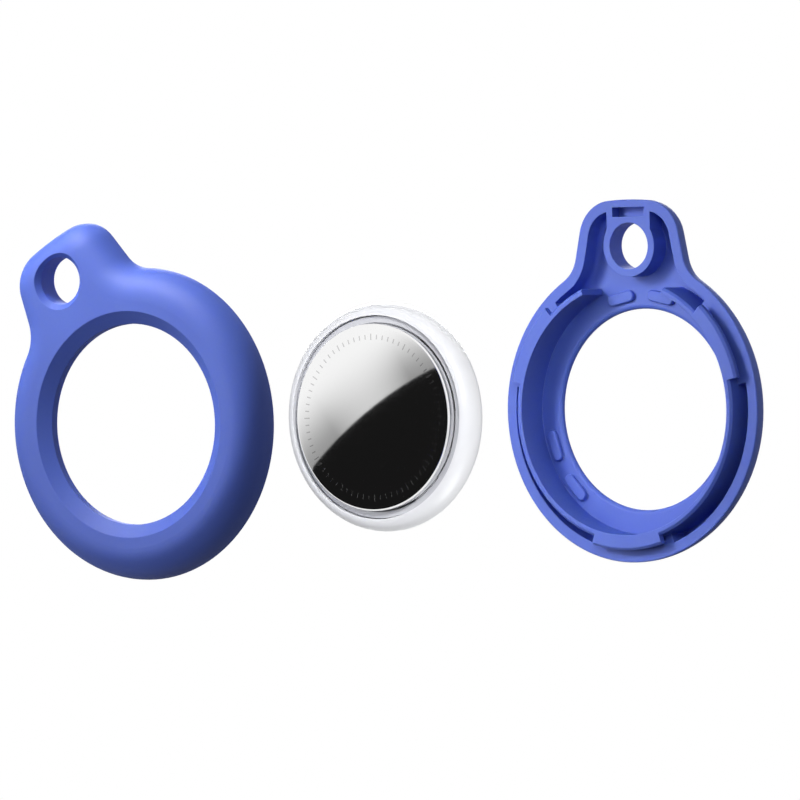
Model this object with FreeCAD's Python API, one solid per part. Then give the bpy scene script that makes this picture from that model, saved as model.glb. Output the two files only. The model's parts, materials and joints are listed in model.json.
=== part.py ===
import FreeCAD, Part
import math
import os

# Tracker tag holder: a twist-lock pair of ring covers and the tag that they clasp.
# Lengths are millimetres and angles are degrees.
# Each piece is drawn about the ring axis, with Z to the front, Y to the key tab and the parting plane at 0.
# The pieces are then stood up, so that the front faces -Y and the key hole's centre is the origin.

# Values shared by all pieces
overrun = 1.0
touch = 0.0001
weld = 0.1
running_gap = 0.25
tag_gap = 0.3
cover_gap = 0.1
full_turn = 360.0
half_turn = 180.0
quarter_turn = 90.0

# How the taken-apart set is laid out
tag_travel = 60.0
cover_travel = 56.0
unlocked_angle = 30.0

# Outline of ring and tab, common to both covers
key_hole_offset = 1.56
key_hole_radius = 3.28
key_boss_wall = 1.07
tab_crown = 6.54
tab_half_width = 9.0
tab_draw_in = 1.35
tab_arch = 0.7
tab_corner_radius = 5.5
tab_root_radius = 4.8
catch_block_width = 7.4

# Rear cover
rear_depth = 4.2
rear_edge_radius = 3.9
rim_width = 1.57
rim_chamfer = 0.12
hollow_corner_radius = 0.75
rear_lip_thickness = 1.15
rear_lip_cover = 1.78
rear_window_rounding = 0.6
rear_window_chamfer = 0.5
rear_window_round_share = 0.95
bayonet_wall_thickness = 0.9
bayonet_wall_rise = 2.05
bayonet_chamfer = 0.35
wall_gap_half_angle = 22.3
bayonet_angles = (60.0, 180.0, 300.0)
lug_thickness = 1.05
lug_reach = 1.25
lug_half_angle = 17.5
ledge_half_angle = 19.75
pad_length = 4.5
pad_width = 1.6
pad_height = 0.6
pad_chamfer = 0.15
pad_offset = 0.12
pad_pair_angles = (0.0, 120.0, 240.0)
pad_half_spread = 12.3
catch_slot_width = 5.45
catch_slot_length = 1.35
catch_slot_depth = 1.8
catch_offset = 4.78
rear_hole_chamfer = 1.2

# Front cover
front_edge_radius = 4.4
front_wall = 1.5
front_lip_thickness = 1.19
front_lip_cover = 2.11
front_bevel_width = 1.79
front_bevel_depth = 1.26
skirt_wall = 1.15
skirt_drop = 0.6
hook_half_angle = 11.0
hook_clearance = 0.15
front_boss_lift = 0.9
front_hole_chamfer = 0.72
catch_nib_drop = 0.5
catch_nib_clearance = 0.2

# Tag housing
dome_drop = 1.9
housing_wall = 1.75
housing_rim_rise = 2.55
housing_skin = 0.9
bore_floor = 3.6
shoulder_land = 0.1
dome_shares = ((0.0, 0.0), (0.5, 0.095), (0.79, 0.307), (0.953, 0.66), (1.0, 1.0))

# Battery tray
tray_clearance = 0.15
tray_wall = 0.7
tray_set_back = 0.6
tray_floor_thickness = 0.5
tray_rim_gap = 0.15
tray_rim_thickness = 0.4
tray_lug_reach = 0.95
tray_lug_set_back = 0.25
tray_lug_thickness = 0.5
tray_lug_half_angle = 33.0
tray_angles = (0.0, 120.0, 240.0)
tray_post_radius = 0.8
tray_post_angles = (60.0, 180.0, 300.0)
seal_height = 0.4
seal_stand = 1.0
seal_groove = 0.35
press_gap = 0.02

# Battery cover and the ring inside it
cap_margin = 1.15
cap_thickness = 0.35
cap_crown_rise = 0.28
cap_stand = 0.77
cap_skirt_lap = 0.1
cap_edge_radius = 0.25
cover_ring_wall = 1.35
cover_ring_clearance = 0.15
cover_ring_head_gap = 0.27
cover_flange_thickness = 0.65
cover_tab_thickness = 0.5
cover_tab_half_angle = 12.0
cover_tab_clearance = 0.2

# Coin cell
cell_radius = 10.0
cell_height = 3.2
cell_seat_gap = 0.05
cell_head_gap = 0.3
can_thickness = 0.25
can_crimp_width = 0.75
can_crimp_height = 0.5
cell_cap_inset = 1.2
cell_cap_thickness = 0.2
cell_cap_step = 0.9
gasket_thickness = 0.3

# Battery contacts
contact_room = 0.9
contact_thickness = 0.2
contact_width = 2.6
contact_rise = 1.7
positive_angles = (60.0, 240.0)
negative_length = 9.0
negative_width = 2.2

# Circuit board and what it carries
board_bore_gap = 0.6
board_edge_gap = 0.4
board_drop = 1.3
board_thickness = 0.6
board_flat_share = 0.9
chip_height = 0.6
module_length = 5.2
module_width = 4.2
module_angle = 120.0
radio_length = 3.6
radio_width = 3.4
radio_angle = 240.0
passive_length = 1.0
passive_width = 0.5
passive_height = 0.45
passive_margin = 1.5
passive_angles = (10.0, 20.0, 30.0, 150.0, 200.0, 210.0, 270.0, 280.0, 330.0, 345.0)
antenna_margin = 1.2
antenna_wall = 1.2
antenna_height = 0.85
antenna_feed_half_angle = 7.0

# Sounder
yoke_radius = 4.7
yoke_wall = 0.5
yoke_thickness = 0.4
yoke_drop = 2.0
magnet_radius = 2.9
magnet_height = 1.6
coil_gap = 0.35
coil_wall = 0.6
coil_height = 1.4
coil_seat_gap = 0.1

# The tag's radii, from the cell outward
cover_ring_inner = cell_radius + contact_room
cover_ring_outer = cover_ring_inner + cover_ring_wall
tray_lug_inner = cover_ring_outer + cover_ring_clearance
tray_inner = tray_lug_inner + tray_lug_reach
tray_outer = tray_inner + tray_wall
housing_bore_radius = tray_outer + tray_clearance
housing_radius = housing_bore_radius + housing_wall
cap_radius = housing_bore_radius - cap_margin
cap_inner = cap_radius - cap_thickness
tray_rim_inner = min(cap_radius + tray_rim_gap, tray_inner - press_gap)
cell_cap_radius = cell_radius - cell_cap_inset
can_wall_inner = cell_radius - can_thickness
antenna_outer = housing_bore_radius - antenna_margin
antenna_inner = antenna_outer - antenna_wall
board_inner = yoke_radius + board_bore_gap
board_outer = antenna_inner - board_edge_gap
board_middle = (board_inner + board_outer) / 2
passive_circle = board_outer - passive_margin
coil_inner = magnet_radius + coil_gap
coil_outer = coil_inner + coil_wall

# The tag's heights, from its domed back to its steel face
board_bottom = bore_floor - board_drop
board_top = board_bottom + board_thickness
tray_floor_top = bore_floor + tray_floor_thickness
cell_bottom = tray_floor_top + cell_seat_gap
cell_top = cell_bottom + cell_height
cap_crown = cell_top + cell_head_gap + cap_thickness
cap_shoulder = cap_crown - cap_crown_rise
housing_shoulder = cap_shoulder - cap_stand
housing_equator = housing_shoulder - housing_rim_rise
tray_top = housing_shoulder - tray_set_back
tray_lug_bottom = tray_top - tray_lug_set_back - tray_lug_thickness
seal_bottom = bore_floor + seal_stand
cap_skirt_bottom = tray_top - cap_skirt_lap
cover_ring_top = cap_shoulder - cap_thickness - cover_ring_head_gap
cover_ring_bottom = tray_lug_bottom - cover_tab_clearance - cover_tab_thickness
cover_flange_bottom = cover_ring_top - cover_flange_thickness

# The holder's radii, from the tag outward
skirt_bore_radius = housing_radius + running_gap
skirt_outer_radius = skirt_bore_radius + skirt_wall
bayonet_bore_radius = skirt_outer_radius + running_gap
bayonet_wall_radius = bayonet_bore_radius + bayonet_wall_thickness
hook_inner_radius = bayonet_wall_radius + running_gap
lug_radius = bayonet_wall_radius + lug_reach
ring_radius = lug_radius + running_gap + front_wall
pad_circle_radius = housing_radius + pad_offset
rear_window_radius = housing_radius - rear_lip_cover
front_window_radius = housing_radius - front_lip_cover
front_bevel_radius = front_window_radius + front_bevel_width

# The key tab, from the ring's edge outward
key_hole_reach = ring_radius + key_hole_offset
key_boss_radius = key_hole_radius + key_boss_wall
catch_reach = key_hole_reach + catch_offset
tab_top = key_hole_reach + tab_crown
tab_shoulder = tab_top - tab_arch
tab_slope = tab_draw_in / tab_crown

# The holder's depths and heights, from the parting plane
tag_floor_depth = rear_depth - rear_lip_thickness
tag_seat_depth = tag_floor_depth + dome_drop
lug_underside = bayonet_wall_rise - lug_thickness
front_ceiling = bayonet_wall_rise - cover_gap + running_gap
front_lip_underside = housing_shoulder - tag_seat_depth - cover_gap + tag_gap
front_lip_top = front_lip_underside + front_lip_thickness
front_height = front_lip_top + front_bevel_depth

origin = FreeCAD.Vector(0, 0, 0)
axis_x = FreeCAD.Vector(1, 0, 0)
axis_y = FreeCAD.Vector(0, 1, 0)
axis_z = FreeCAD.Vector(0, 0, 1)


def polar(radius, angle, height):
    # Angles run clockwise from the tab, as seen from the front
    return FreeCAD.Vector(
        radius * math.sin(math.radians(angle)), radius * math.cos(math.radians(angle)), height)


def at_angle(shape, angle):
    turned = shape.copy()
    turned.rotate(origin, axis_z, -angle)
    return turned


def disc(radius, low, high):
    return Part.makeCylinder(radius, high - low, FreeCAD.Vector(0, 0, low))


def tube(inner, outer, low, high):
    return disc(outer, low, high).cut(disc(inner, low - overrun, high + overrun))


def block(width, south, north, low, high):
    # A block centred on the tab's midline, from its south edge to its north edge
    corner = FreeCAD.Vector(-width / 2, south, low)
    return Part.makeBox(width, north - south, high - low, corner)


def sector(inner, outer, low, high, middle, half):
    # A ring segment between two radii, two heights and two angles
    first = middle - half
    last = middle + half
    edges = [
        Part.Arc(polar(outer, first, low), polar(outer, middle, low), polar(outer, last, low)).toShape(),
        Part.makeLine(polar(outer, last, low), polar(inner, last, low)),
        Part.Arc(polar(inner, last, low), polar(inner, middle, low), polar(inner, first, low)).toShape(),
        Part.makeLine(polar(inner, first, low), polar(outer, first, low)),
    ]
    return Part.Face(Part.Wire(edges)).extrude(FreeCAD.Vector(0, 0, high - low))


def profile_face(points):
    # A straight-sided profile of (radius, height) points, standing on the ring axis
    corners = [FreeCAD.Vector(radius, 0, height) for radius, height in points]
    corners.append(corners[0])
    return Part.Face(Part.makePolygon(corners))


def turned_profile(points):
    return profile_face(points).revolve(origin, axis_z, full_turn)


def turned_sector(points, middle, half):
    # A profile turned only between two angles
    arc = profile_face(points).revolve(origin, axis_z, 2 * half)
    return at_angle(arc, middle + half - quarter_turn)


def turned_edges(edges):
    # A profile with curved sides, turned about the ring axis
    profile = Part.Wire(Part.__sortEdges__(edges))
    return Part.Face(profile).revolve(origin, axis_z, full_turn)


def joined(shapes):
    return shapes[0].multiFuse(shapes[1:]).removeSplitter()


def edges_at(shape, height):
    # The edges that lie wholly at one height
    boxes = [(edge, edge.BoundBox) for edge in shape.Edges]
    return [edge for edge, box in boxes if abs(box.ZMin - height) < touch and abs(box.ZMax - height) < touch]


def upright_edges(shape, south, north):
    # The upright straight edges between two lines across the tab
    found = []
    for edge in shape.Edges:
        box = edge.BoundBox
        flat = max(box.XLength, box.YLength)
        if flat < touch and south < box.YMin < north:
            found.append(edge)
    return found


def outline_prism(height):
    # Ring and tab in one prism: the tab narrows to an arched top and flares into the ring
    foot_half = tab_half_width + tab_slope * key_hole_reach
    top_half = tab_half_width - tab_draw_in
    left_foot = FreeCAD.Vector(-foot_half, 0, 0)
    right_foot = FreeCAD.Vector(foot_half, 0, 0)
    left_top = FreeCAD.Vector(-top_half, tab_shoulder, 0)
    right_top = FreeCAD.Vector(top_half, tab_shoulder, 0)
    crown = FreeCAD.Vector(0, tab_top, 0)
    edges = [
        Part.makeLine(left_foot, left_top),
        Part.Arc(left_top, crown, right_top).toShape(),
        Part.makeLine(right_top, right_foot),
        Part.makeLine(right_foot, left_foot),
    ]
    tab = Part.Face(Part.Wire(edges)).extrude(FreeCAD.Vector(0, 0, height))
    prism = joined([disc(ring_radius, 0, height), tab])
    prism = prism.makeFillet(tab_root_radius, upright_edges(prism, 0, key_hole_reach))
    return prism.makeFillet(tab_corner_radius, upright_edges(prism, key_hole_reach, tab_top))


def inset_prism(inset, height):
    # The outline drawn in by a wall's thickness
    foot = edges_at(outline_prism(height), 0)
    wire = Part.Wire(Part.__sortEdges__(foot))
    inner = wire.makeOffset2D(-inset)
    return Part.Face(inner).extrude(FreeCAD.Vector(0, 0, height))


def key_bore(low, high):
    return Part.makeCylinder(key_hole_radius, high - low, FreeCAD.Vector(0, key_hole_reach, low))


def key_boss(wall, low, high):
    # The tube round the key hole, and the block that ties it to the tab's top wall
    tube_part = Part.makeCylinder(key_boss_radius, high - low, FreeCAD.Vector(0, key_hole_reach, low))
    tie = block(catch_block_width, key_hole_reach, tab_top - wall + weld, low, high)
    return tube_part, tie


def key_countersink(chamfer, face_height, outward):
    # A 45 degree lead-in at the outer face of the key hole
    mouth = key_hole_radius + chamfer + overrun
    tip = FreeCAD.Vector(0, key_hole_reach, face_height - outward * chamfer)
    direction = FreeCAD.Vector(0, 0, outward)
    return Part.makeCone(key_hole_radius, mouth, chamfer + overrun, tip, direction)


def facing_down(shape):
    # Turned over about the tab's midline, so that its outer face looks to the rear
    turned = shape.copy()
    turned.rotate(origin, axis_y, half_turn)
    return turned


def rear_pad():
    # One obround pad, lying along the lip
    half_run = (pad_length - pad_width) / 2
    half_wide = pad_width / 2
    edges = [
        Part.makeLine(FreeCAD.Vector(-half_run, half_wide, 0), FreeCAD.Vector(half_run, half_wide, 0)),
        Part.Arc(
            FreeCAD.Vector(half_run, half_wide, 0),
            FreeCAD.Vector(half_run + half_wide, 0, 0),
            FreeCAD.Vector(half_run, -half_wide, 0)).toShape(),
        Part.makeLine(FreeCAD.Vector(half_run, -half_wide, 0), FreeCAD.Vector(-half_run, -half_wide, 0)),
        Part.Arc(
            FreeCAD.Vector(-half_run, -half_wide, 0),
            FreeCAD.Vector(-half_run - half_wide, 0, 0),
            FreeCAD.Vector(-half_run, half_wide, 0)).toShape(),
    ]
    root = min(pad_height, rear_depth - tag_floor_depth) / 2
    pad = Part.Face(Part.Wire(edges)).extrude(FreeCAD.Vector(0, 0, pad_height + root))
    pad = pad.makeChamfer(pad_chamfer, edges_at(pad, pad_height + root))
    pad.translate(FreeCAD.Vector(0, pad_circle_radius, -tag_floor_depth - root))
    return pad


def rear_window():
    # The cut through the rear lip: rounded on the tag's side, chamfered on the outside
    room = rear_lip_thickness - rear_window_chamfer
    rounding = min(rear_window_rounding, room * rear_window_round_share)
    slant = rounding * (1 - math.cos(math.radians(quarter_turn / 2)))
    outer = rear_window_radius + rear_window_chamfer + overrun
    top = FreeCAD.Vector(0, 0, overrun)
    mouth = FreeCAD.Vector(rear_window_radius + rounding, 0, overrun)
    round_start = FreeCAD.Vector(rear_window_radius + rounding, 0, -tag_floor_depth)
    round_middle = FreeCAD.Vector(rear_window_radius + slant, 0, -tag_floor_depth - slant)
    round_end = FreeCAD.Vector(rear_window_radius, 0, -tag_floor_depth - rounding)
    land_end = FreeCAD.Vector(rear_window_radius, 0, -rear_depth + rear_window_chamfer)
    outside = FreeCAD.Vector(outer, 0, -rear_depth - overrun)
    bottom = FreeCAD.Vector(0, 0, -rear_depth - overrun)
    edges = [
        Part.makeLine(top, mouth),
        Part.makeLine(mouth, round_start),
        Part.Arc(round_start, round_middle, round_end).toShape(),
        Part.makeLine(round_end, land_end),
        Part.makeLine(land_end, outside),
        Part.makeLine(outside, bottom),
        Part.makeLine(bottom, top),
    ]
    return turned_edges(edges)


def bayonet_arc(outer, low, middle, half):
    # An arc of the bayonet wall or of a lug, chamfered at its outer top edge
    chamfer = min(bayonet_chamfer, bayonet_wall_thickness / 2, lug_thickness / 2)
    return turned_sector([
        (bayonet_bore_radius, low),
        (outer, low),
        (outer, bayonet_wall_rise - chamfer),
        (outer - chamfer, bayonet_wall_rise),
        (bayonet_bore_radius, bayonet_wall_rise)], middle, half)


def rear_cover():
    body = outline_prism(rear_depth)
    body = body.makeFillet(min(rear_edge_radius, rear_depth - 2 * rim_chamfer), edges_at(body, rear_depth))
    body = facing_down(body)
    body = body.makeChamfer(rim_chamfer, edges_at(body, 0))
    # Hollow of ring and tab, with rounded floor corners
    hollow = inset_prism(rim_width, tag_floor_depth + overrun)
    corner = min(hollow_corner_radius, rim_width / 2)
    hollow = hollow.makeFillet(corner, edges_at(hollow, tag_floor_depth + overrun))
    hollow = facing_down(hollow)
    hollow.translate(FreeCAD.Vector(0, 0, overrun))
    body = body.cut(hollow)
    # Bayonet wall, open at the tab, with its lugs and the ledges under them
    wall_half = quarter_turn - wall_gap_half_angle / 2
    root = tag_floor_depth + weld
    ledge_radius = ring_radius - rim_width + weld
    pieces = [body]
    for side in (1, -1):
        middle = side * (wall_gap_half_angle + wall_half)
        pieces.append(bayonet_arc(bayonet_wall_radius, -root, middle, wall_half))
    for angle in bayonet_angles:
        pieces.append(bayonet_arc(lug_radius, lug_underside, angle, lug_half_angle))
        pieces.append(sector(
            bayonet_bore_radius, ledge_radius, -root, 0, angle, ledge_half_angle))
    for pair in pad_pair_angles:
        for side in (1, -1):
            pieces.append(at_angle(rear_pad(), pair + side * pad_half_spread))
    pieces.extend(key_boss(rim_width, -root, 0))
    body = joined(pieces)
    body = body.cut(rear_window())
    # Key hole, its lead-in and the slot for the catch
    body = body.cut(key_bore(-rear_depth - overrun, overrun))
    body = body.cut(key_countersink(rear_hole_chamfer, -rear_depth, -1))
    half_slot = catch_slot_length / 2
    slot = block(
        catch_slot_width, catch_reach - half_slot, catch_reach + half_slot, -catch_slot_depth, overrun)
    return body.cut(slot)


def front_cover():
    body = outline_prism(front_height)
    edge_radius = min(front_edge_radius, front_height - 2 * rim_chamfer)
    body = body.makeFillet(edge_radius, edges_at(body, front_height))
    body = body.makeChamfer(rim_chamfer, edges_at(body, 0))
    # Hollow of ring and tab
    hollow = inset_prism(front_wall, front_ceiling + overrun)
    hollow.translate(FreeCAD.Vector(0, 0, -overrun))
    body = body.cut(hollow)
    tag_space = disc(skirt_bore_radius, -overrun, front_lip_underside)
    # Skirt inside the bayonet wall, hooks that run under the lugs, boss and catch in the tab
    front_root = (front_ceiling + front_lip_top) / 2
    pieces = [body]
    pieces.append(disc(skirt_outer_radius, -skirt_drop, front_root))
    hook_low = hook_clearance - cover_gap
    hook_high = lug_underside - hook_clearance - cover_gap
    for angle in bayonet_angles:
        pieces.append(sector(
            hook_inner_radius, ring_radius - front_wall / 2, hook_low, hook_high, angle, hook_half_angle))
    boss, tie = key_boss(front_wall, front_boss_lift, front_root)
    pieces.append(boss.cut(disc(hook_inner_radius, front_boss_lift - overrun, front_ceiling)))
    pieces.append(tie)
    nib_width = catch_slot_width - 2 * catch_nib_clearance
    nib_length = catch_slot_length - 2 * catch_nib_clearance
    nib_south = catch_reach - nib_length / 2
    pieces.append(block(nib_width, nib_south, nib_south + nib_length, -catch_nib_drop, front_root))
    body = joined(pieces)
    body = body.cut(tag_space)
    # Window with a wide bevel to the front
    bevel_slope = front_bevel_width / front_bevel_depth
    window = turned_profile([
        (0, -overrun),
        (front_window_radius, -overrun),
        (front_window_radius, front_lip_top),
        (front_bevel_radius + bevel_slope * overrun, front_height + overrun),
        (0, front_height + overrun)])
    body = body.cut(window)
    body = body.cut(key_bore(-overrun, front_height + overrun))
    return body.cut(key_countersink(front_hole_chamfer, front_height, 1))


def dome_curve(radius, height, base):
    # The tag's domed back: flat at the middle and upright at its rim
    points = [FreeCAD.Vector(radius * out, 0, base + height * up) for out, up in dome_shares]
    curve = Part.BSplineCurve()
    curve.interpolate(Points=points, InitialTangent=axis_x, FinalTangent=axis_z)
    return curve.toShape()


def quarter_ellipse(foot, top):
    # Upright at its foot and level at its top
    corner = FreeCAD.Vector(foot.x, 0, top.z)
    middle_weight = math.cos(math.radians(quarter_turn / 2))
    curve = Part.BSplineCurve()
    curve.buildFromPolesMultsKnots([foot, corner, top], [3, 3], [0, 1], False, 2, [1, middle_weight, 1])
    return curve.toShape()


def tag_housing():
    equator = FreeCAD.Vector(housing_radius, 0, housing_equator)
    lip_out = FreeCAD.Vector(housing_bore_radius + shoulder_land, 0, housing_shoulder)
    lip_in = FreeCAD.Vector(housing_bore_radius, 0, housing_shoulder)
    bore_foot = FreeCAD.Vector(housing_bore_radius, 0, bore_floor)
    inner_apex = FreeCAD.Vector(0, 0, housing_skin)
    edges = [
        dome_curve(housing_radius, housing_equator, 0),
        quarter_ellipse(equator, lip_out),
        Part.makeLine(lip_out, lip_in),
        Part.makeLine(lip_in, bore_foot),
        dome_curve(housing_bore_radius, bore_floor - housing_skin, housing_skin),
        Part.makeLine(inner_apex, origin),
    ]
    return turned_edges(edges)


def battery_tray():
    # Cup that takes the cell: its rim shows as the ring round the steel cover
    cup = turned_profile([
        (0, bore_floor),
        (tray_outer, bore_floor),
        (tray_outer, seal_bottom),
        (tray_outer - seal_groove, seal_bottom),
        (tray_outer - seal_groove, seal_bottom + seal_height),
        (tray_outer, seal_bottom + seal_height),
        (tray_outer, tray_top),
        (tray_rim_inner, tray_top),
        (tray_rim_inner, tray_top - tray_rim_thickness),
        (tray_inner, tray_top - tray_rim_thickness),
        (tray_inner, tray_floor_top),
        (0, tray_floor_top)])
    pieces = [cup]
    wall_middle = tray_inner + (tray_wall - seal_groove) / 2
    for angle in tray_angles:
        pieces.append(sector(
            tray_lug_inner, wall_middle, tray_lug_bottom, tray_lug_bottom + tray_lug_thickness,
            angle, tray_lug_half_angle))
    post_root = (bore_floor + tray_floor_top) / 2
    for angle in tray_post_angles:
        post_foot = polar(board_middle, angle, board_top)
        pieces.append(Part.makeCylinder(tray_post_radius, post_root - board_top, post_foot))
    return joined(pieces)


def tray_seal():
    seal_top = seal_bottom + seal_height
    return tube(tray_outer - seal_groove, housing_bore_radius - press_gap, seal_bottom, seal_top)


def crowned_edge(reach, edge, crown):
    # Half of a shallow crown, from its edge in to the axis: an arc centred on the axis
    rise = crown - edge
    radius = (reach * reach + rise * rise) / (2 * rise)
    half = math.asin(reach / radius) / 2
    middle = FreeCAD.Vector(radius * math.sin(half), 0, crown - radius + radius * math.cos(half))
    return Part.Arc(FreeCAD.Vector(reach, 0, edge), middle, FreeCAD.Vector(0, 0, crown)).toShape()


def battery_cover():
    # Pressed steel cap: crowned face, rolled edge and a short skirt
    roll = cap_edge_radius
    slant = roll * (1 - math.cos(math.radians(quarter_turn / 2)))
    face_edge = FreeCAD.Vector(cap_radius - roll, 0, cap_shoulder)
    skirt_top = FreeCAD.Vector(cap_radius, 0, cap_shoulder - roll)
    roll_middle = FreeCAD.Vector(cap_radius - slant, 0, cap_shoulder - slant)
    under_edge = FreeCAD.Vector(cap_inner, 0, cap_shoulder - cap_thickness)
    skirt_out = FreeCAD.Vector(cap_radius, 0, cap_skirt_bottom)
    skirt_in = FreeCAD.Vector(cap_inner, 0, cap_skirt_bottom)
    crown_out = FreeCAD.Vector(0, 0, cap_crown)
    crown_in = FreeCAD.Vector(0, 0, cap_crown - cap_thickness)
    edges = [
        crowned_edge(cap_radius - roll, cap_shoulder, cap_crown),
        Part.Arc(face_edge, roll_middle, skirt_top).toShape(),
        Part.makeLine(skirt_top, skirt_out),
        Part.makeLine(skirt_out, skirt_in),
        Part.makeLine(skirt_in, under_edge),
        crowned_edge(cap_inner, cap_shoulder - cap_thickness, cap_crown - cap_thickness),
        Part.makeLine(crown_in, crown_out),
    ]
    return turned_edges(edges)


def battery_cover_ring():
    # Moulded ring pressed into the cap, with the three tabs that turn under the tray's lugs
    sleeve = tube(cover_ring_inner, cover_ring_outer, cover_ring_bottom, cover_ring_top)
    flange = tube(cover_ring_inner, cap_inner - press_gap, cover_flange_bottom, cover_ring_top)
    pieces = [sleeve, flange]
    for angle in tray_angles:
        pieces.append(sector(
            (cover_ring_inner + cover_ring_outer) / 2, tray_inner - cover_tab_clearance,
            cover_ring_bottom, cover_ring_bottom + cover_tab_thickness, angle, cover_tab_half_angle))
    return joined(pieces)


def cell_can():
    # Positive can: a shallow cup that opens to the rear and is crimped over the gasket
    crimp_inner = cell_radius - can_crimp_width
    foot = cell_bottom + cell_cap_thickness
    return turned_profile([
        (0, cell_top),
        (cell_radius, cell_top),
        (cell_radius, foot + can_crimp_height),
        (cell_radius - can_thickness, foot),
        (crimp_inner, foot),
        (crimp_inner, foot + can_thickness),
        (can_wall_inner - can_thickness, foot + can_thickness),
        (can_wall_inner, foot + can_crimp_height),
        (can_wall_inner, cell_top - can_thickness),
        (0, cell_top - can_thickness)])


def cell_cap():
    # Negative cap: a stepped dish whose rim sits inside the gasket
    rim_outer = can_wall_inner - gasket_thickness
    step_top = cell_bottom + cell_cap_step
    plate_top = cell_bottom + cell_cap_thickness
    wall_inner = cell_cap_radius - cell_cap_thickness
    return turned_profile([
        (0, cell_bottom),
        (cell_cap_radius, cell_bottom),
        (cell_cap_radius, step_top - cell_cap_thickness),
        (rim_outer, step_top - cell_cap_thickness),
        (rim_outer, step_top),
        (wall_inner, step_top),
        (wall_inner, plate_top),
        (0, plate_top)])


def cell_gasket():
    rim_outer = can_wall_inner - gasket_thickness
    low = cell_bottom + cell_cap_thickness + can_crimp_height
    high = cell_top - can_thickness
    return tube(rim_outer + press_gap, can_wall_inner - press_gap, low, high)


def cell_electrodes():
    # Lithium, separator and oxide as the one pressed stack that fills the cell
    rim_outer = can_wall_inner - gasket_thickness
    low = cell_bottom + cell_cap_step
    high = cell_top - can_thickness
    stack = disc(rim_outer - press_gap, low, high)
    dish_inner = cell_cap_radius - cell_cap_thickness
    dish_fill = disc(dish_inner - press_gap, cell_bottom + cell_cap_thickness, (low + high) / 2)
    return joined([stack, dish_fill])


def positive_contacts():
    # Two leaf springs that stand on the tray's floor and lean on the can's side
    leaves = []
    inner = cell_radius + cell_seat_gap
    outer = inner + contact_thickness
    foot_outer = cover_ring_inner - cell_seat_gap
    half = math.degrees(math.atan2(contact_width / 2, cell_radius))
    for angle in positive_angles:
        leaf = sector(inner, outer, tray_floor_top, tray_floor_top + contact_rise, angle, half)
        foot = sector(inner, foot_outer, tray_floor_top, tray_floor_top + contact_thickness, angle, half)
        leaves.append(joined([leaf, foot]))
    return Part.makeCompound(leaves)


def negative_recess(clearance):
    # The hollow in the tray's floor in which the negative strip lies
    half = negative_length / 2 + clearance
    width = negative_width + 2 * clearance
    depth = contact_thickness + clearance
    return block(width, -half, half, tray_floor_top - depth, tray_floor_top + cell_seat_gap)


def circuit_board():
    # A ring of board, trimmed flat where the feed point stands beside it
    ring = tube(board_inner, board_outer, board_bottom, board_top)
    flat = board_outer * board_flat_share
    trim = block(2 * board_outer, flat, board_outer + overrun, board_bottom - overrun, board_top + overrun)
    return ring.cut(trim)


def board_chip(length, width, height, circle, angle):
    chip = block(length, circle - width / 2, circle + width / 2, board_top, board_top + height)
    return at_angle(chip, angle)


def board_passives():
    parts = [
        board_chip(passive_width, passive_length, passive_height, passive_circle, angle)
        for angle in passive_angles]
    return Part.makeCompound(parts)


def antenna_carrier():
    # Moulded ring under the tray, with a feed lug that reaches in to the board's flat
    low = bore_floor - antenna_height
    ring = tube(antenna_inner, antenna_outer, low, bore_floor)
    feed = sector(
        board_outer * board_flat_share + running_gap, (antenna_inner + antenna_outer) / 2,
        low, low + antenna_height / 2, 0, antenna_feed_half_angle)
    return joined([ring, feed])


def magnet_yoke():
    top = bore_floor
    plate = disc(yoke_radius, top - yoke_thickness, top)
    wall = tube(yoke_radius - yoke_wall, yoke_radius, top - yoke_drop, top - yoke_thickness / 2)
    return joined([plate, wall])


def speaker_magnet():
    top = bore_floor - yoke_thickness
    return disc(magnet_radius, top - magnet_height, top)


def voice_coil():
    low = housing_skin + coil_seat_gap
    return tube(coil_inner, coil_outer, low, low + coil_height)


def stood_up(shape, forward, turned):
    placed = shape.copy()
    placed.rotate(origin, axis_z, turned)
    placed.translate(FreeCAD.Vector(0, 0, forward))
    placed.rotate(origin, axis_x, quarter_turn)
    placed.translate(FreeCAD.Vector(0, 0, -key_hole_reach))
    return placed


tray = battery_tray().cut(negative_recess(press_gap))
tag_pieces = {
    "tag_housing": tag_housing(),
    "battery_tray": tray,
    "tray_seal": tray_seal(),
    "battery_cover": battery_cover(),
    "battery_cover_ring": battery_cover_ring(),
    "cell_can": cell_can(),
    "cell_cap": cell_cap(),
    "cell_gasket": cell_gasket(),
    "cell_electrodes": cell_electrodes(),
    "positive_contacts": positive_contacts(),
    "negative_contact": negative_recess(0),
    "circuit_board": circuit_board(),
    "ranging_module": board_chip(module_length, module_width, chip_height, board_middle, module_angle),
    "radio_chip": board_chip(radio_length, radio_width, chip_height, board_middle, radio_angle),
    "board_passives": board_passives(),
    "antenna_carrier": antenna_carrier(),
    "magnet_yoke": magnet_yoke(),
    "speaker_magnet": speaker_magnet(),
    "voice_coil": voice_coil(),
}

tag_forward = tag_travel - tag_seat_depth
cover_forward = tag_travel + cover_travel + cover_gap
placed_pieces = {
    "rear_cover": stood_up(rear_cover(), 0, 0),
    "front_cover": stood_up(front_cover(), cover_forward, unlocked_angle),
}
for name, shape in tag_pieces.items():
    placed_pieces[name] = stood_up(shape, tag_forward, 0)

os.makedirs("parts", exist_ok=True)
for name, shape in placed_pieces.items():
    shape.exportStep("parts/" + name + ".step")
    print(name, len(shape.Solids), shape.isValid(), round(shape.Volume, 2))
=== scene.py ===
import bpy
import json
import math
from mathutils import Matrix, Vector

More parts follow.
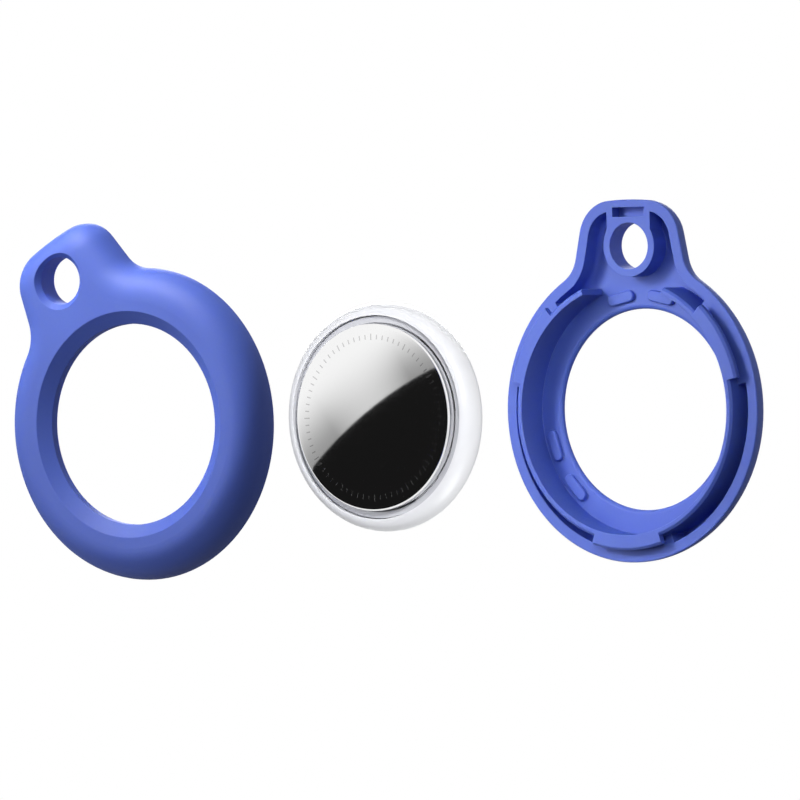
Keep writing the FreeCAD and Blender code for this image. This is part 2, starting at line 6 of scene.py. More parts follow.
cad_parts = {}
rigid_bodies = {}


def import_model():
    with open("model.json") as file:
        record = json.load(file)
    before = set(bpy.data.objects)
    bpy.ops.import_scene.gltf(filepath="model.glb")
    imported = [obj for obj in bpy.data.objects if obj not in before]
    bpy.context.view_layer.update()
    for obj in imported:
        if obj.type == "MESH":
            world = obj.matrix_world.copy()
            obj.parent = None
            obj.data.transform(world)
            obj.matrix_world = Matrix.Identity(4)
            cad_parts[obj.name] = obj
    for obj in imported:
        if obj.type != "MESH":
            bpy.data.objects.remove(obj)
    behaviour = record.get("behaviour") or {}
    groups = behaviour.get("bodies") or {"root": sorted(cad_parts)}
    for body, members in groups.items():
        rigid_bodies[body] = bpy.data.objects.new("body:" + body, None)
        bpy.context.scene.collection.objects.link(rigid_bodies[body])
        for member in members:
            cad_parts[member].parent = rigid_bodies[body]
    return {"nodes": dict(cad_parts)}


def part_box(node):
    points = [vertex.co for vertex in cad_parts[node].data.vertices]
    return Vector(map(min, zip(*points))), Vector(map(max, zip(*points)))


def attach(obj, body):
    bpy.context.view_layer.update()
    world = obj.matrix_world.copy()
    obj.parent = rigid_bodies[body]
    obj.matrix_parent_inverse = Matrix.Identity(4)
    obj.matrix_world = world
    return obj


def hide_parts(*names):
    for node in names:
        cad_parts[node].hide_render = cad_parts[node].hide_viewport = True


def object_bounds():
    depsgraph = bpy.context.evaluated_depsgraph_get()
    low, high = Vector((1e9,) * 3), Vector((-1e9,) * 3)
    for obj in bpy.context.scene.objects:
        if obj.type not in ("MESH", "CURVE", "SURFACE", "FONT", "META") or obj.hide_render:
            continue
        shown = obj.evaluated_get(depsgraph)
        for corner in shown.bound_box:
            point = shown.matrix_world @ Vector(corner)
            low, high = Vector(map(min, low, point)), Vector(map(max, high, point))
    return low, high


for startupObject in list(bpy.data.objects):  # the start-up scene's cube, lamp and camera
    bpy.data.objects.remove(startupObject)
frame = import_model()
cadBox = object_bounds()
scene = bpy.context.scene
scene.view_settings.view_transform = "Standard"
mm = 0.001
white = (1.0, 1.0, 1.0, 1.0)
noiseBand = (0.3, 0.7)  # nearly all of a noise's values lie between these
print("frame loaded:", len(frame["nodes"]), "nodes")


# Small helpers

def linearColour(hexText):
    # from the sRGB curve to the linear values that shaders work in
    shares = [int(hexText[place:place + 2], 16) / 255 for place in (1, 3, 5)]
    linear = [share / 12.92 if share <= 0.04045 else ((share + 0.055) / 1.055) ** 2.4 for share in shares]
    return (*linear, 1.0)


def addNode(tree, kind, settings=None, links=None):
    node = tree.nodes.new(kind)
    for name, value in (settings or {}).items():
        if isinstance(name, str) and name in node.bl_rna.properties:
            setattr(node, name, value)
        else:
            node.inputs[name].default_value = value
    for name, source in (links or {}).items():
        tree.links.new(source, node.inputs[name])
    return node


def newMaterial(name):
    material = bpy.data.materials.new(name)
    material.use_nodes = True
    material.node_tree.nodes.clear()
    return material, material.node_tree


def perMm(sizeMm):
    # texture scale that puts one feature in that many millimetres, since coordinates are metres
    return 1.0 / (sizeMm * mm)


def spreadAround(tree, source, middle, spread):
    # a noise value stretched to a band around one number
    return addNode(tree, "ShaderNodeMapRange",
                   {"From Min": noiseBand[0], "From Max": noiseBand[1],
                    "To Min": middle - spread, "To Max": middle + spread},
                   {"Value": source}).outputs["Result"]


def twoTone(tree, look, mask):
    return addNode(tree, "ShaderNodeMix",
                   {"data_type": "RGBA", 6: linearColour(look["deep"]), 7: linearColour(look["base"])},
                   {0: mask}).outputs[2]


def newPiece(name, mesh):
    piece = bpy.data.objects.new(name, mesh)
    scene.collection.objects.link(piece)
    return piece


# Finishes

mould = {"grainDetail": 3.0, "grainRoughness": 0.6, "flowDetail": 2.0, "flowSwirl": 0.6,
         "edgeSamples": 6, "edgeLean": 0.8, "glossFadeFrom": 0.45, "glossFadeTo": 0.95}
polish = {"hairDetail": 2.0, "patchDetail": 3.0}


def paintedEdgeHighlight(tree, look, tone):
    # mould edges catch light: a rounded normal there, and a painted highlight, a paler tone mixed into the
    # colour where the rounded normal leans from the true surface
    rounded = addNode(tree, "ShaderNodeBevel",
                      {"samples": mould["edgeSamples"], "Radius": look["edgeMm"] * mm}).outputs["Normal"]
    surface = addNode(tree, "ShaderNodeNewGeometry").outputs["Normal"]
    lean = addNode(tree, "ShaderNodeVectorMath", {"operation": "DOT_PRODUCT"}, {0: rounded, 1: surface})
    mask = addNode(tree, "ShaderNodeMapRange",
                   {"From Min": 1.0, "From Max": mould["edgeLean"], "To Max": look["edgeHighlightShare"]},
                   {"Value": lean.outputs["Value"]})
    # painted highlight: the pale colour is mixed in along the edges, by how far the rounded normal leans
    highlighted = addNode(tree, "ShaderNodeMix", {"data_type": "RGBA", 7: linearColour(look["edgeHighlightColour"])},
                    {0: mask.outputs["Result"], 6: tone})
    return highlighted.outputs[2], rounded


def mouldedPlastic(name, look):
    # a spark-eroded mould leaves an even fine grain, and the flow of the melt a faint cloudiness
    material, tree = newMaterial(name)
    place = addNode(tree, "ShaderNodeTexCoord").outputs["Object"]
    grain = addNode(tree, "ShaderNodeTexNoise",
                    {"Scale": perMm(look["grainMm"]), "Detail": mould["grainDetail"],
                     "Roughness": mould["grainRoughness"]},
                    {"Vector": place}).outputs["Fac"]
    flow = addNode(tree, "ShaderNodeTexNoise",
                   {"Scale": perMm(look["flowMm"]), "Detail": mould["flowDetail"],
                    "Distortion": mould["flowSwirl"]},
                   {"Vector": place}).outputs["Fac"]
    tone = twoTone(tree, look, spreadAround(tree, flow, middle=0.5, spread=0.5))
    bumpLinks = {"Height": grain}
    if look["edgeMm"]:
        # a painted highlight along the edges, as well as the rounded normal
        tone, bumpLinks["Normal"] = paintedEdgeHighlight(tree, look, tone)
    bump = addNode(tree, "ShaderNodeBump",
                   {"Strength": look["bump"], "Distance": look["grainDepthMm"] * mm}, bumpLinks)
    # the grain shades itself at low angles, so the gloss dies away there instead of whitening the outline
    facing = addNode(tree, "ShaderNodeLayerWeight").outputs["Facing"]
    gloss = addNode(tree, "ShaderNodeMapRange",
                    {"From Min": mould["glossFadeFrom"], "From Max": mould["glossFadeTo"],
                     "To Min": look["specular"], "To Max": look["lowGloss"]},
                    {"Value": facing})
    shader = addNode(tree, "ShaderNodeBsdfPrincipled",
                     {"IOR": look["ior"], "Subsurface Weight": look["glow"],
                      "Subsurface Radius": look["glowRadius"], "Subsurface Scale": look["glowMm"] * mm},
                     {"Base Color": tone, "Normal": bump.outputs["Normal"],
                      "Specular IOR Level": gloss.outputs["Result"],
                      "Roughness": spreadAround(tree, grain, look["roughness"], look["roughSpread"])})
    addNode(tree, "ShaderNodeOutputMaterial", {}, {"Surface": shader.outputs["BSDF"]})
    return material


def workedMetal(name, look):
    # sheet or plated metal: a mirror or satin base with the fine hairlines that polishing leaves
    material, tree = newMaterial(name)
    place = addNode(tree, "ShaderNodeTexCoord").outputs["Object"]
    lines = addNode(tree, "ShaderNodeMapping", {"Scale": look["stretch"]}, {"Vector": place})
    hairlines = addNode(tree, "ShaderNodeTexNoise",
                        {"Scale": perMm(look["hairMm"]), "Detail": polish["hairDetail"]},
                        {"Vector": lines.outputs["Vector"]}).outputs["Fac"]
    patches = addNode(tree, "ShaderNodeTexNoise",
                      {"Scale": perMm(look["patchMm"]), "Detail": polish["patchDetail"]},
                      {"Vector": place}).outputs["Fac"]
    bump = addNode(tree, "ShaderNodeBump", {"Strength": look["bump"], "Distance": look["hairDepthMm"] * mm},
                   {"Height": hairlines})
    shader = addNode(tree, "ShaderNodeBsdfPrincipled", {"Metallic": look["metallic"]},
                     {"Base Color": twoTone(tree, look, patches), "Normal": bump.outputs["Normal"],
                      "Roughness": spreadAround(tree, hairlines, look["roughness"], look["roughSpread"])})
    addNode(tree, "ShaderNodeOutputMaterial", {}, {"Surface": shader.outputs["BSDF"]})
    return material


coverLook = {  # periwinkle ABS with a matt mould texture; blue light travels furthest under its skin
    # the pale colour and its share paint a highlight along the mould edges
    "base": "#4963c1", "deep": "#455ebc", "edgeHighlightColour": "#738adc", "edgeHighlightShare": 0.45, "edgeMm": 0.16,
    "grainMm": 0.32, "grainDepthMm": 0.012, "bump": 0.2, "flowMm": 14.0,  # grain drawn coarse, to show
    "roughness": 0.6, "roughSpread": 0.05, "ior": 1.53, "specular": 0.45, "lowGloss": 0.0,
    "glow": 0.25, "glowRadius": (0.15, 0.25, 1.0), "glowMm": 1.2,
}
housingLook = {  # satin white polycarbonate: almost no grain, a soft glow under the skin
    "base": "#f1f2f5", "deep": "#eeeff3", "edgeMm": 0.0,
    "grainMm": 0.9, "grainDepthMm": 0.004, "bump": 0.05, "flowMm": 9.0,
    "roughness": 0.34, "roughSpread": 0.03, "ior": 1.58, "specular": 0.4, "lowGloss": 0.2,
    "glow": 0.2, "glowRadius": (1.0, 1.0, 1.0), "glowMm": 0.8,
}
trayLook = {  # pale grey ABS, matt: it lies below the housing's rim and only its upper face shows
    "base": "#cfd0d5", "deep": "#c9cacf", "edgeMm": 0.0,
    "grainMm": 0.25, "grainDepthMm": 0.01, "bump": 0.1, "flowMm": 6.0,
    "roughness": 0.5, "roughSpread": 0.06, "ior": 1.53, "specular": 0.3, "lowGloss": 0.1,
    "glow": 0.0, "glowRadius": (1.0, 1.0, 1.0), "glowMm": 1.0,
}
plasticLooks = {
    "mouldedPeriwinkleAbs": coverLook,
    "satinWhitePolycarbonate": housingLook,
    "mattGreyAbs": trayLook,
    # moulded with a dull sheen, then without one, then milky and smooth
    "blackNylon": dict(trayLook, base="#2b2b2d", deep="#232325", roughness=0.45),
    "blackSilicone": dict(trayLook, base="#2f3032", deep="#28292b", roughness=0.6),
    "clearPolypropylene": dict(trayLook, base="#d9d8d0", deep="#d0cfc6", roughness=0.35),
    # pressed powder is sooty and rough, and filled epoxy sandy
    "pressedOxide": dict(trayLook, base="#2c2c2e", deep="#222224", roughness=0.8, bump=0.6),
    "mouldedEpoxy": dict(trayLook, base="#1d1e20", deep="#17181a", roughness=0.5, bump=0.4),
    # fired to a dry brown, and lacquered to a half-gloss green
    "firedCeramic": dict(trayLook, base="#a88d70", deep="#9a7f62", roughness=0.4),
    "solderMaskLaminate": dict(trayLook, base="#17382a", deep="#122c21", roughness=0.3),
}
capLook = {  # mirror-polished stainless steel: clear reflections, softened by polishing marks drawn coarse
    "base": "#f6f6f6", "deep": "#f3f3f3", "stretch": (1.0, 1.0, 1.0), "hairMm": 0.4, "hairDepthMm": 0.0004,
    "patchMm": 7.0, "metallic": 1.0, "roughness": 0.05, "roughSpread": 0.01, "bump": 0.01,
}
metalLooks = {
    "polishedStainless": capLook,
    # etched to a faint grey that shows on both the light and the dark side
    "laserEtchedStainless": dict(capLook, base="#d3d3d3", deep="#cbcbcb", metallic=0.97, roughness=0.1),
    # plated over drawn sheet, so satin along the draw; plated springs are yellower, ground magnets dull
    "nickelPlatedSteel": dict(capLook, base="#c9c7c2", deep="#bdbbb5", stretch=(1.0, 0.1, 1.0), hairMm=0.2,
                              hairDepthMm=0.001, roughness=0.28, roughSpread=0.06, bump=0.15),
    "platedBronze": dict(capLook, base="#d8b56b", deep="#c9a45a", roughness=0.25, roughSpread=0.06),
    "sinteredMagnet": dict(capLook, base="#8f9195", deep="#85878b", roughness=0.4, roughSpread=0.1,
                           bump=0.2),
    # wound wire, with the turns drawn as ridges
    "enamelledCopper": dict(capLook, base="#b8682f", deep="#a35723", stretch=(0.05, 1.0, 0.05), hairMm=0.16,
                            hairDepthMm=0.03, roughness=0.3, roughSpread=0.05, bump=0.8),
}
finishes = {name: mouldedPlastic(name, look) for name, look in plasticLooks.items()}
finishes.update({name: workedMetal(name, look) for name, look in metalLooks.items()})
print("finishes made:", len(finishes))

nodeFinish = {
    "front_cover": "mouldedPeriwinkleAbs", "rear_cover": "mouldedPeriwinkleAbs",
    "tag_housing": "satinWhitePolycarbonate", "battery_cover": "polishedStainless",
    "battery_tray": "mattGreyAbs", "battery_cover_ring": "blackNylon", "tray_seal": "blackSilicone",
    "cell_can": "nickelPlatedSteel", "cell_cap": "nickelPlatedSteel", "cell_gasket": "clearPolypropylene",
    "cell_electrodes": "pressedOxide", "positive_contacts": "platedBronze",
    "negative_contact": "platedBronze", "circuit_board": "solderMaskLaminate",
    "ranging_module": "mouldedEpoxy", "radio_chip": "mouldedEpoxy", "board_passives": "firedCeramic",
    "antenna_carrier": "mattGreyAbs", "magnet_yoke": "nickelPlatedSteel",
    "speaker_magnet": "sinteredMagnet", "voice_coil": "enamelledCopper",
}
for nodeName, finishName in nodeFinish.items():
    for materialSlot in frame["nodes"][nodeName].material_slots:
        materialSlot.material = finishes[finishName]
print("nodes dressed:", len(nodeFinish))


# Steel cap: spun with an even mesh, because a mirror shows every facet

steelCap = {"rollMm": 0.25, "fallMm": 0.28, "sheetMm": 0.35, "segments": 256, "crownRings": 24,
            "rollSteps": 10, "sharpDegrees": 40}
capLow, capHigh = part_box("battery_cover")
capCentre = Vector(((capLow.x + capHigh.x) / 2, capLow.y, (capLow.z + capHigh.z) / 2))
capRadius = (capHigh.z - capLow.z) / 2
capDepth = capHigh.y - capLow.y
faceReach = capRadius - steelCap["rollMm"] * mm
crownRadius = (faceReach ** 2 + (steelCap["fallMm"] * mm) ** 2) / (2 * steelCap["fallMm"] * mm)
faceFrame = Matrix.Translation(capCentre) @ Matrix.Rotation(math.radians(90), 4, "X")  # local Z to the front


def crownFall(radius):
    return crownRadius - math.sqrt(crownRadius ** 2 - radius ** 2)


def spunMesh(name, profile, segments, sharpDegrees):
    # a closed profile of (radius, height) points that starts and ends on the axis
    points = []
    rings = []
    for radius, height in profile:
        count = segments if radius > 0 else 1
        rings.append(range(len(points), len(points) + count))
        for step in range(count):
            turn = math.tau * step / segments
            points.append((radius * math.cos(turn), radius * math.sin(turn), height))
    faces = []
    for upper, lower in zip(rings, rings[1:]):
        for step in range(segments):
            corners = [upper[step % len(upper)], lower[step % len(lower)],
                       lower[(step + 1) % len(lower)], upper[(step + 1) % len(upper)]]
            faces.append(tuple(dict.fromkeys(corners)))
    mesh = bpy.data.meshes.new(name)
    mesh.from_pydata(points, [], faces)
    mesh.shade_smooth()
    mesh.set_sharp_from_angle(angle=math.radians(sharpDegrees))
    return mesh


def makeCap(sizes):
    roll = sizes["rollMm"] * mm
    sheet = sizes["sheetMm"] * mm
    shoulder = -sizes["fallMm"] * mm
    inner = capRadius - sheet
    profile = []
    for step in range(sizes["crownRings"] + 1):
        radius = faceReach * step / sizes["crownRings"]
        profile.append((radius, -crownFall(radius)))
    for step in range(1, sizes["rollSteps"] + 1):
        lean = math.pi / 2 * step / sizes["rollSteps"]
        profile.append((faceReach + roll * math.sin(lean), shoulder - roll * (1 - math.cos(lean))))
    profile.extend([(capRadius, -capDepth), (inner, -capDepth), (inner, shoulder - sheet)])
    for step in range(sizes["crownRings"] - 1, -1, -1):
        radius = inner * step / sizes["crownRings"]
        profile.append((radius, shoulder - sheet + crownFall(inner) - crownFall(radius)))
    mesh = spunMesh("steel_cap", profile, sizes["segments"], sizes["sharpDegrees"])
    mesh.transform(faceFrame)
    mesh.materials.append(finishes["polishedStainless"])
    piece = newPiece("steel_cap", mesh)
    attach(piece, "battery_cover")
    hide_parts("battery_cover")
    return piece


capPiece = makeCap(steelCap)
print("steel cap:", len(capPiece.data.polygons), "faces")


# Etched scale on the steel cap: a plain ring of laser-marked lines, made by one node tree

etchedScale = {"radiusMm": 11.2, "count": 72, "tallMm": 0.9, "shortShare": 0.72, "longEvery": 6,
               "wideMm": 0.17, "liftMm": 0.006, "thickMm": 0.008, "pointsAlong": 4}


def scaleTree(count, pointsAlong):
    tree = bpy.data.node_groups.new("etchedScale", "GeometryNodeTree")
    tree.interface.new_socket("Geometry", in_out="OUTPUT", socket_type="NodeSocketGeometry")
    kinds = {"Radius": "Float", "Count": "Int", "Line Height": "Float", "Line Width": "Float",
             "Thickness": "Float", "Long Every": "Int", "Short Share": "Float", "Crown Radius": "Float"}
    sockets = {}
    for name, kind in kinds.items():
        socket = tree.interface.new_socket(name, in_out="INPUT", socket_type="NodeSocket" + kind)
        sockets[name] = socket.identifier
    given = addNode(tree, "NodeGroupInput").outputs
    ring = addNode(tree, "GeometryNodeMeshCircle", {"fill_type": "NONE"},
                   {"Vertices": given["Count"], "Radius": given["Radius"]})
    lineSize = addNode(tree, "ShaderNodeCombineXYZ", {},
                       {"X": given["Line Height"], "Y": given["Line Width"], "Z": given["Thickness"]})
    line = addNode(tree, "GeometryNodeMeshCube",
                   {"Vertices X": pointsAlong, "Vertices Y": 2, "Vertices Z": 2},
                   {"Size": lineSize.outputs["Vector"]})
    # each line points to the axis, and all but one in a group are short
    index = addNode(tree, "GeometryNodeInputIndex").outputs["Index"]
    turn = addNode(tree, "ShaderNodeMath", {"operation": "MULTIPLY", 1: math.tau / count}, {0: index})
    turnVector = addNode(tree, "ShaderNodeCombineXYZ", {}, {"Z": turn.outputs["Value"]})
    step = addNode(tree, "ShaderNodeMath", {"operation": "FLOORED_MODULO"},
                   {0: index, 1: given["Long Every"]})
    isShort = addNode(tree, "ShaderNodeMath", {"operation": "GREATER_THAN", 1: 0.5},
                      {0: step.outputs["Value"]})
    length = addNode(tree, "ShaderNodeMapRange", {"To Min": 1.0},
                     {"Value": isShort.outputs["Value"], "To Max": given["Short Share"]})
    stretch = addNode(tree, "ShaderNodeCombineXYZ", {"Y": 1.0, "Z": 1.0}, {"X": length.outputs["Result"]})
    placed = addNode(tree, "GeometryNodeInstanceOnPoints", {},
                     {"Points": ring.outputs["Mesh"], "Instance": line.outputs["Mesh"],
                      "Rotation": turnVector.outputs["Vector"], "Scale": stretch.outputs["Vector"]})
    real = addNode(tree, "GeometryNodeRealizeInstances", {}, {"Geometry": placed.outputs["Instances"]})
    # each point sinks by the crown's fall at its own radius, so that the lines lie on the crowned face
    position = addNode(tree, "GeometryNodeInputPosition").outputs["Position"]
    flat = addNode(tree, "ShaderNodeVectorMath", {"operation": "MULTIPLY", 1: (1.0, 1.0, 0.0)},
                   {0: position})
    square = addNode(tree, "ShaderNodeVectorMath", {"operation": "DOT_PRODUCT"},
                     {0: flat.outputs["Vector"], 1: flat.outputs["Vector"]})
    fall = addNode(tree, "ShaderNodeMath", {"operation": "DIVIDE"},
                   {0: square.outputs["Value"], 1: given["Crown Radius"]})
    halfFall = addNode(tree, "ShaderNodeMath", {"operation": "MULTIPLY", 1: -0.5},
                       {0: fall.outputs["Value"]})
    sink = addNode(tree, "ShaderNodeCombineXYZ", {}, {"Z": halfFall.outputs["Value"]})
    laid = addNode(tree, "GeometryNodeSetPosition", {},
                   {"Geometry": real.outputs["Geometry"], "Offset": sink.outputs["Vector"]})
    coated = addNode(tree, "GeometryNodeSetMaterial", {"Material": finishes["laserEtchedStainless"]},
                     {"Geometry": laid.outputs["Geometry"]})
    addNode(tree, "NodeGroupOutput", {}, {"Geometry": coated.outputs["Geometry"]})
    return tree, sockets


def etchScale(sizes):
    tree, sockets = scaleTree(sizes["count"], sizes["pointsAlong"])
    holder = newPiece("etchedScaleMaker", bpy.data.meshes.new("etchedScaleMaker"))
    maker = holder.modifiers.new("scale", "NODES")
    maker.node_group = tree
    values = {"Radius": sizes["radiusMm"] * mm, "Count": sizes["count"],
              "Line Height": sizes["tallMm"] * mm, "Line Width": sizes["wideMm"] * mm,
              "Thickness": sizes["thickMm"] * mm, "Long Every": sizes["longEvery"],
              "Short Share": sizes["shortShare"], "Crown Radius": crownRadius}
    for name, value in values.items():
        maker[sockets[name]] = value
    evaluated = holder.evaluated_get(bpy.context.evaluated_depsgraph_get())
    mesh = bpy.data.meshes.new_from_object(evaluated)
    bpy.data.objects.remove(holder)
    mesh.transform(Matrix.Translation((0, 0, (sizes["liftMm"] - sizes["thickMm"] / 2) * mm)))
    mesh.transform(faceFrame)
    piece = newPiece("etched_scale", mesh)
    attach(piece, "battery_cover")
    return piece


scalePiece = etchScale(etchedScale)
print("etched scale:", len(scalePiece.data.polygons), "faces")


# Studio: floor, backdrop and lamps

studio = {"ambient": 0.25, "floorDropMm": 60.0, "floorReachMm": 450.0, "paper": "#a0a0a0",
          "dullPaper": "#4a4a4a", "paperGlow": 0.76}
openSpread = 180  # degrees, of a lamp without a grid
discMean = 2 / 3  # a disc's mean radius, as a share of its rim's
lamps = {  # where each lamp comes from, as seen from the piece that it is aimed at, and what it leaves unlit
    "keyLamp": {"node": "tag_housing", "from": (-0.52, -0.85, 0.06),
                "awayMm": 1000, "sizeMm": 520, "level": 0.35, "spread": openSpread},
    "frontTopLamp": {"node": "front_cover", "aimUpMm": 14, "from": (-0.36, -0.46, 0.81),
                     "unlit": ("tag_housing", "battery_tray"),
                     "awayMm": 150, "sizeMm": 60, "level": 1.55, "spread": 31},
    "rearLeftLamp": {"node": "rear_cover", "from": (-0.44, -0.81, 0.39),
                     "unlit": ("tag_housing", "battery_tray"),
                     "awayMm": 240, "sizeMm": 76, "level": 0.75, "spread": 31},
    "tagSideLamp": {"node": "tag_housing", "from": (0.6, -0.67, 0.43), "unlit": ("front_cover",),
                    "awayMm": 260, "sizeMm": 60, "level": 0.82, "spread": 26},
    "tagLowLamp": {"node": "tag_housing", "from": (0.52, -0.03, -0.85),
                   "awayMm": 84, "sizeMm": 50, "level": 0.56, "spread": 56},
    "backLamp": {"node": "tag_housing", "from": (-0.55, 0.8, 0.28),
                 "awayMm": 1000, "sizeMm": 520, "level": 0.85, "spread": openSpread},
}
middle = (cadBox[0] + cadBox[1]) / 2


def seenRays(tree):
    # rays that meet the backdrop directly, in a mirror or through something clear
    path = addNode(tree, "ShaderNodeLightPath").outputs
    direct = addNode(tree, "ShaderNodeMath", {"operation": "MAXIMUM"},
                     {0: path["Is Camera Ray"], 1: path["Is Glossy Ray"]})
    return addNode(tree, "ShaderNodeMath", {"operation": "MAXIMUM"},
                   {0: direct.outputs["Value"], 1: path["Is Transmission Ray"]}).outputs["Value"]


def makeWorld(ambient):
    world = bpy.data.worlds.new("studioAir")
    world.use_nodes = True
    tree = world.node_tree
    tree.nodes.clear()
    dim = addNode(tree, "ShaderNodeBackground", {"Color": white, "Strength": ambient})
    bright = addNode(tree, "ShaderNodeBackground", {"Color": white, "Strength": 1.0})
    mix = addNode(tree, "ShaderNodeMixShader", {},
                  {0: seenRays(tree), 1: dim.outputs["Background"], 2: bright.outputs["Background"]})
    addNode(tree, "ShaderNodeOutputWorld", {}, {"Surface": mix.outputs["Shader"]})
    scene.world = world


def stagePlane(name, centre, across, upward, material):
    corners = [centre + across * x + upward * y for x, y in ((-1, -1), (1, -1), (1, 1), (-1, 1))]
    mesh = bpy.data.meshes.new(name)
    mesh.from_pydata([tuple(corner) for corner in corners], [], [(0, 1, 2, 3)])
    mesh.materials.append(material)
    piece = newPiece(name, mesh)
    return piece


def makeFloor(sizes):
    # white to the eye with the part's shadow on it, and dull to the light that it throws back
    material, tree = newMaterial("whitePaperSweep")
    paper = addNode(tree, "ShaderNodeBsdfDiffuse", {"Color": linearColour(sizes["paper"])})
    glow = addNode(tree, "ShaderNodeEmission", {"Color": white, "Strength": sizes["paperGlow"]})
    shown = addNode(tree, "ShaderNodeAddShader", {}, {0: paper.outputs["BSDF"], 1: glow.outputs["Emission"]})
    dull = addNode(tree, "ShaderNodeBsdfDiffuse", {"Color": linearColour(sizes["dullPaper"])})
    mix = addNode(tree, "ShaderNodeMixShader", {},
                  {0: seenRays(tree), 1: dull.outputs["BSDF"], 2: shown.outputs["Shader"]})
    addNode(tree, "ShaderNodeOutputMaterial", {}, {"Surface": mix.outputs["Shader"]})
    reach = sizes["floorReachMm"] * mm
    centre = Vector((middle.x, middle.y, cadBox[0].z - sizes["floorDropMm"] * mm))
    return stagePlane("paper_floor", centre, Vector((reach, 0, 0)), Vector((0, reach, 0)), material)


def addLamp(name, sizes):
    # a level of 1 lights a facing white surface to white; a narrow spread is a grid in front of the lamp
    low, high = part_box(sizes["node"])
    target = (low + high) / 2 + Vector((0, 0, sizes.get("aimUpMm", 0) * mm))
    outward = Vector(sizes["from"]).normalized()
    reach = sizes["awayMm"] * mm
    lamp = bpy.data.lights.new(name, "AREA")
    lamp.shape = "DISK"
    lamp.size = sizes["sizeMm"] * mm
    lamp.spread = math.radians(sizes["spread"])
    gridGain = 1.0
    if sizes["spread"] < openSpread:
        half = lamp.spread / 2
        # a grid gathers the light, but hides the lamp's rim from the middle of its pool
        rimLean = sizes["sizeMm"] / (2 * sizes["awayMm"]) / math.tan(half)
        gridGain = math.tan(half) / (math.tan(half) - half) * (1 - rimLean * discMean)
    lamp.energy = sizes["level"] * math.pi ** 2 * reach ** 2 / gridGain
    holder = newPiece(name, lamp)
    holder.location = target + outward * reach
    holder.rotation_euler = (-outward).to_track_quat("-Z", "Y").to_euler()
    return holder


def keepOff(holder, pieces):
    # these pieces take no light from this lamp
    shaded = bpy.data.collections.new(holder.name + "Shade")
    for piece in pieces:
        shaded.objects.link(piece)
    for member in shaded.collection_objects:
        member.light_linking.link_state = "EXCLUDE"
    holder.light_linking.receiver_collection = shaded


makeWorld(studio["ambient"])
paperFloor = makeFloor(studio)
for lampName, lampSizes in lamps.items():
    lampHolder = addLamp(lampName, lampSizes)
    # the mirror shows its card rather than the lamps, and the grids keep their pools of light off the paper
    unlitPieces = [capPiece, scalePiece]
    unlitPieces.extend(frame["nodes"][nodeName] for nodeName in lampSizes.get("unlit", ()))
    if lampSizes["spread"] < openSpread:
        unlitPieces.append(paperFloor)
    keepOff(lampHolder, unlitPieces)
print("studio lit with", len(lamps), "lamps")


# Camera, from the photograph's angle

view = {"azimuth": 35.5, "elevation": 0.3, "roll": 1.2, "lens": 1500.0, "sensor": 36.0, "frameMm": 111.4,
        "aimRightMm": -32.6, "aimUpMm": -21.0, "nearestMetres": 0.1, "furthestMetres": 20.0}


def viewAxes(azimuth, elevation, roll):
    turn, rise, lean = (math.radians(angle) for angle in (azimuth, elevation, roll))
    back = Vector((math.sin(turn) * math.cos(rise), -math.cos(turn) * math.cos(rise), math.sin(rise)))
    right = Vector((math.cos(turn), math.sin(turn), 0))
    up = back.cross(right)
    leaningRight = right * math.cos(lean) - up * math.sin(lean)
    leaningUp = up * math.cos(lean) + right * math.sin(lean)
    return leaningRight, leaningUp, back


viewRight, viewUp, viewBack = viewAxes(view["azimuth"], view["elevation"], view["roll"])
viewDistance = view["lens"] * view["frameMm"] * mm / view["sensor"]
levelRight = viewAxes(view["azimuth"], 0.0, 0.0)[0]
aim = levelRight * view["aimRightMm"] * mm + Vector((0, 0, view["aimUpMm"] * mm))
aim += viewBack * (middle - aim).dot(viewBack)
lens = bpy.data.cameras.new("productCamera")
lens.lens = view["lens"]
lens.sensor_width = view["sensor"]
lens.clip_start = view["nearestMetres"]
lens.clip_end = view["furthestMetres"]
camera = newPiece("productCamera", lens)
viewTurn = Matrix((viewRight, viewUp, viewBack)).transposed().to_4x4()
camera.matrix_world = Matrix.Translation(aim + viewBack * viewDistance) @ viewTurn
scene.camera = camera
print("camera at", [round(value, 3) for value in camera.location])


# Mirror card for the steel cap: white at the upper left, with a round black flag at the lower right

card = {  # measured on the cap's face, where the card's mirror image falls
    "awayMm": 34.0, "halfMm": 17.0, "flagRightMm": 37.8, "flagUpMm": -58.4, "flagRadiusMm": 70.5,
    "edgeMm": 0.08, "fadeMm": 9.0, "edgeLight": 0.68, "endLight": 0.34, "along": (0.844, 0.536),
    "alongMiddleMm": 1.0, "alongReachMm": 7.5, "black": 0.0085,
}


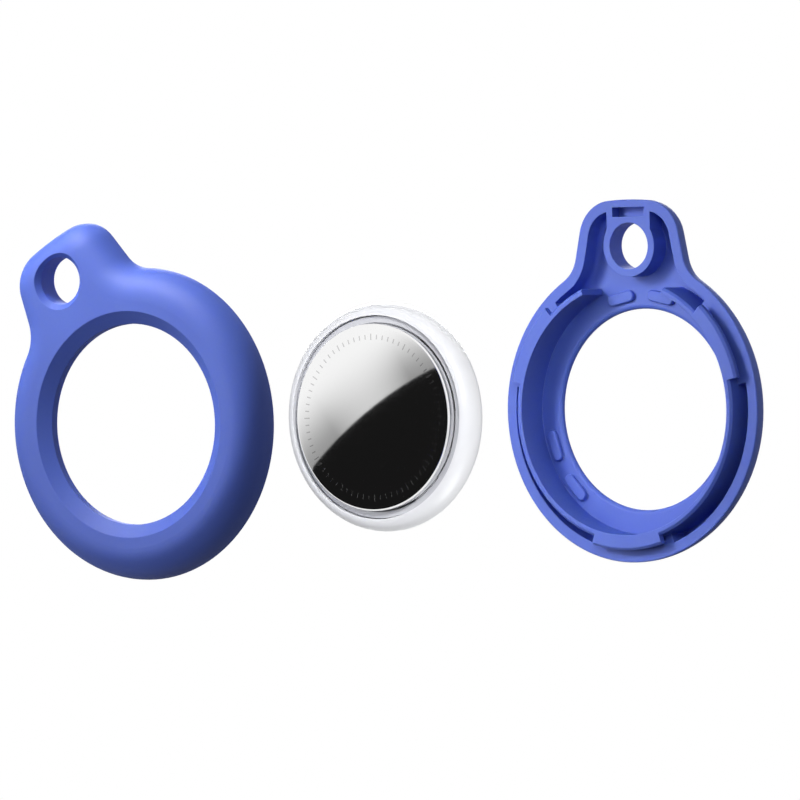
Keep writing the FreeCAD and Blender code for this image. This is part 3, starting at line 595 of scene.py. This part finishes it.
def cardMaterial(sizes):
    material, tree = newMaterial("mirrorCard")
    spot = addNode(tree, "ShaderNodeUVMap", {"uv_map": "faceMm"}).outputs["UV"]
    toFlag = addNode(tree, "ShaderNodeVectorMath",
                     {"operation": "DISTANCE", 1: (sizes["flagRightMm"], sizes["flagUpMm"], 0.0)}, {0: spot})
    outside = addNode(tree, "ShaderNodeMath", {"operation": "SUBTRACT", 1: sizes["flagRadiusMm"]},
                      {0: toFlag.outputs["Value"]}).outputs["Value"]
    rise = addNode(tree, "ShaderNodeMapRange",
                   {"interpolation_type": "SMOOTHSTEP", "From Max": sizes["fadeMm"]}, {"Value": outside})
    along = addNode(tree, "ShaderNodeVectorMath", {"operation": "DOT_PRODUCT", 1: (*sizes["along"], 0.0)},
                    {0: spot})
    reach = addNode(tree, "ShaderNodeMapRange",
                    {"clamp": False, "From Min": sizes["alongMiddleMm"],
                     "From Max": sizes["alongMiddleMm"] + sizes["alongReachMm"]},
                    {"Value": along.outputs["Value"]})
    square = addNode(tree, "ShaderNodeMath", {"operation": "MULTIPLY"},
                     {0: reach.outputs["Result"], 1: reach.outputs["Result"]})
    edge = addNode(tree, "ShaderNodeMapRange", {"To Min": sizes["edgeLight"], "To Max": sizes["endLight"]},
                   {"Value": square.outputs["Value"]})
    light = addNode(tree, "ShaderNodeMapRange", {},
                    {"Value": rise.outputs["Result"], "To Min": edge.outputs["Result"]})
    lit = addNode(tree, "ShaderNodeMapRange",
                  {"From Max": sizes["edgeMm"], "To Min": sizes["black"]},
                  {"Value": outside, "To Max": light.outputs["Result"]})
    shine = addNode(tree, "ShaderNodeEmission", {"Color": white}, {"Strength": lit.outputs["Result"]})
    clear = addNode(tree, "ShaderNodeBsdfTransparent")
    behind = addNode(tree, "ShaderNodeNewGeometry").outputs["Backfacing"]
    oneSided = addNode(tree, "ShaderNodeMixShader", {},
                       {0: behind, 1: shine.outputs["Emission"], 2: clear.outputs["BSDF"]})
    addNode(tree, "ShaderNodeOutputMaterial", {}, {"Surface": oneSided.outputs["Shader"]})
    return material


def mirrorCard(sizes):
    turn = math.radians(view["azimuth"])
    outward = Vector((-math.sin(turn), -math.cos(turn), 0))
    across = Vector((math.cos(turn), -math.sin(turn), 0))
    half = sizes["halfMm"]
    # a point of the face sees the card this much further out, because the face is turned and crowned
    bend = 2 * sizes["awayMm"] * mm / crownRadius
    wide = across * (math.cos(turn) + bend) * half * mm
    tall = Vector((0, 0, (1 + bend * math.cos(turn)) * half * mm))
    centre = capCentre + outward * sizes["awayMm"] * mm
    piece = stagePlane("mirror_card", centre, -wide, tall, cardMaterial(sizes))
    places = piece.data.uv_layers.new(name="faceMm")
    for corner, place in zip(places.data, ((half, -half), (-half, -half), (-half, half), (half, half))):
        corner.uv = place
    piece.visible_camera = False
    piece.visible_diffuse = False
    piece.visible_shadow = False


mirrorCard(card)
print("mirror card placed")
